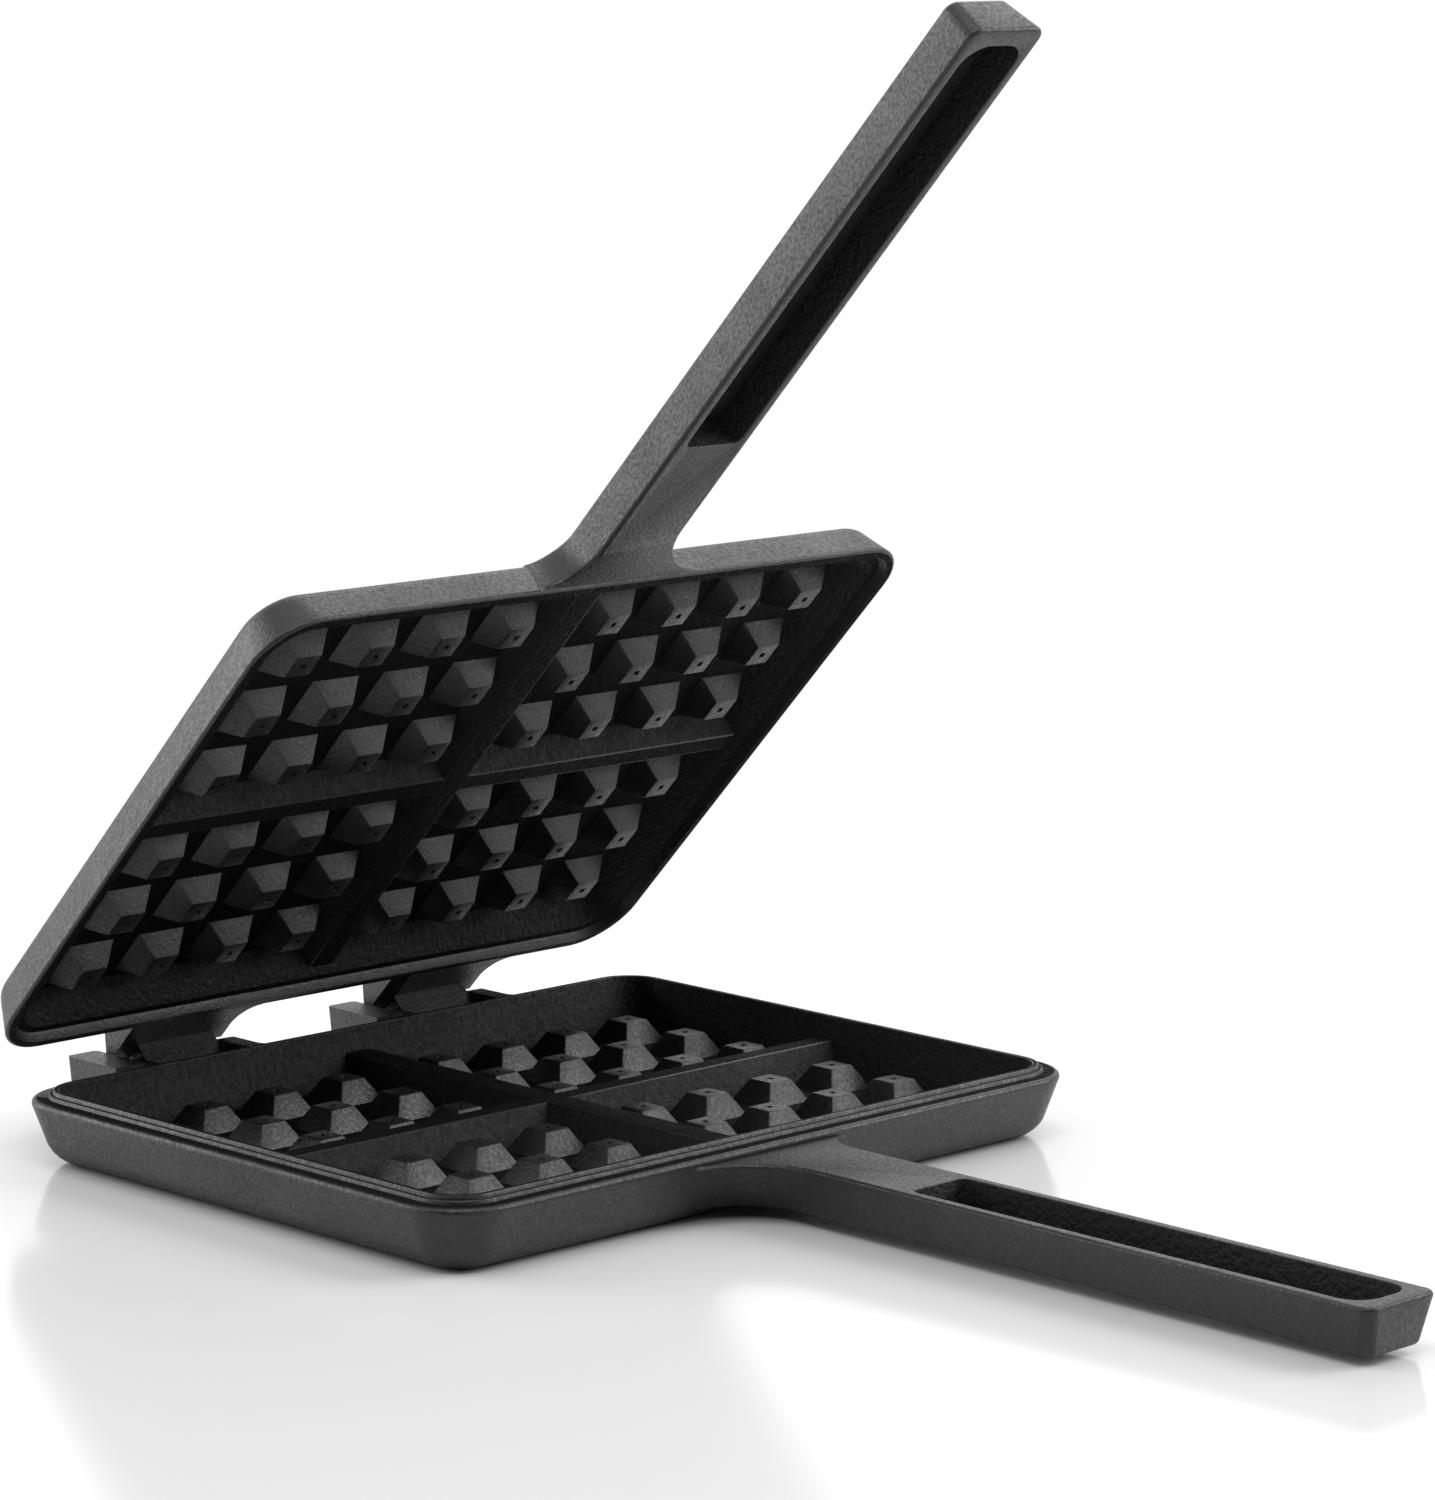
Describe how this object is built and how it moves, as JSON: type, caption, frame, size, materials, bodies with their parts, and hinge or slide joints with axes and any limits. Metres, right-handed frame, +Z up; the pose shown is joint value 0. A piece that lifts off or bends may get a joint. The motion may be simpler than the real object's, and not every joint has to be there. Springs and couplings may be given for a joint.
{
  "type": "stovetop waffle iron",
  "caption": "Cast-iron waffle iron for the stove: a lower plate and a hinged lid, each with its own handle, that press batter into a grid of square pockets.",
  "frame": {"origin": "centre of the lower plate's flat underside, which rests on the stove", "axes": "+X along the handles away from the hinges, +Y along the hinge line, +Z up"},
  "size_m": [0.4058, 0.229, 0.3092],
  "materials": {
    "seasoned_cast_iron": "seasoned, satin, sand-cast grain",
    "steel_rod": "drawn, dull"
  },
  "bodies": {
    "base": {"lower_plate": "seasoned_cast_iron", "hinge_pins": "steel_rod"},
    "lid": {"lid": "seasoned_cast_iron"}
  },
  "joints": [
    {"name": "lid_hinge", "type": "hinge", "parent": "base", "child": "lid", "pos_m": [-0.1046, 0, 0.0118], "axis": [0, -1, 0], "range_deg": [-46, 54]}
  ]
}
